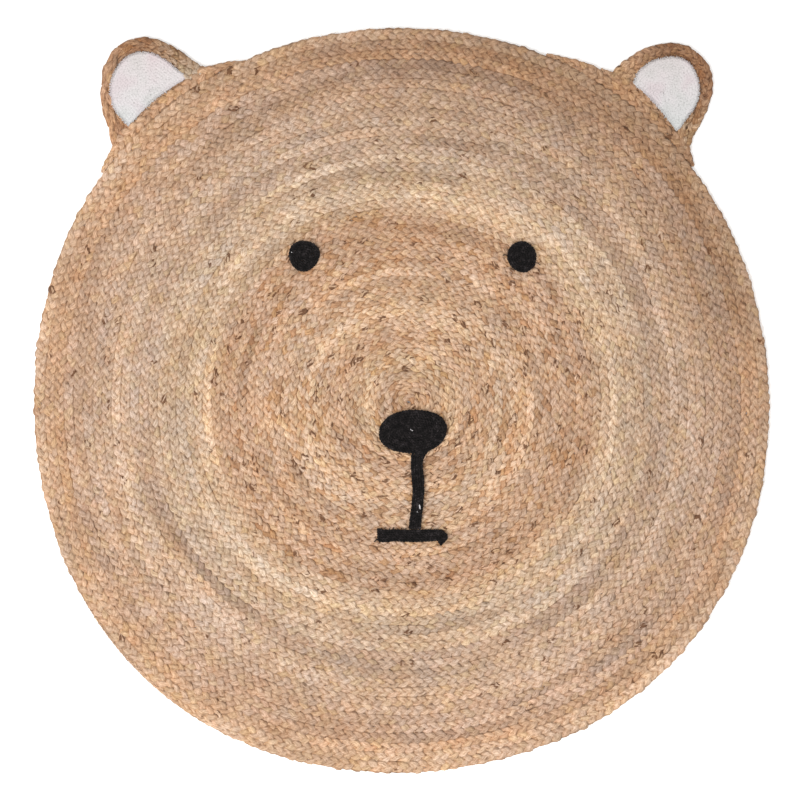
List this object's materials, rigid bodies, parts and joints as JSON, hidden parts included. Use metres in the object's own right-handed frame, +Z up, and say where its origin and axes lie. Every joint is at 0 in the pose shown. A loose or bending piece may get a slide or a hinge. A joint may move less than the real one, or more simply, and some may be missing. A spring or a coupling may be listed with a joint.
{
  "type": "bear shaped kids rug",
  "caption": "Flat round rug of coiled and sewn jute braid in the shape of a bear's head, with white padded ears and a black yarn face.",
  "frame": {"origin": "middle of the outline's box, on the floor under the rug", "axes": "+X to the right of the face, +Y towards the ears, +Z up from the floor"},
  "size_m": [0.79, 0.7994, 0.0109],
  "materials": {
    "head_jute": "matt braided jute, golden straw with browner rows at the rim",
    "ear_jute": "matt braided jute, browner than the head",
    "white_cotton": "matt white cotton chain stitch",
    "black_yarn": "matt black cotton yarn"
  },
  "bodies": {
    "root": {"head_coil": "head_jute", "left_ear_braid": "ear_jute", "right_ear_braid": "ear_jute", "left_ear_pad": "white_cotton", "right_ear_pad": "white_cotton", "left_eye": "black_yarn", "right_eye": "black_yarn", "nose": "black_yarn", "nose_bar": "black_yarn", "mouth_bar": "black_yarn"}
  },
  "joints": []
}
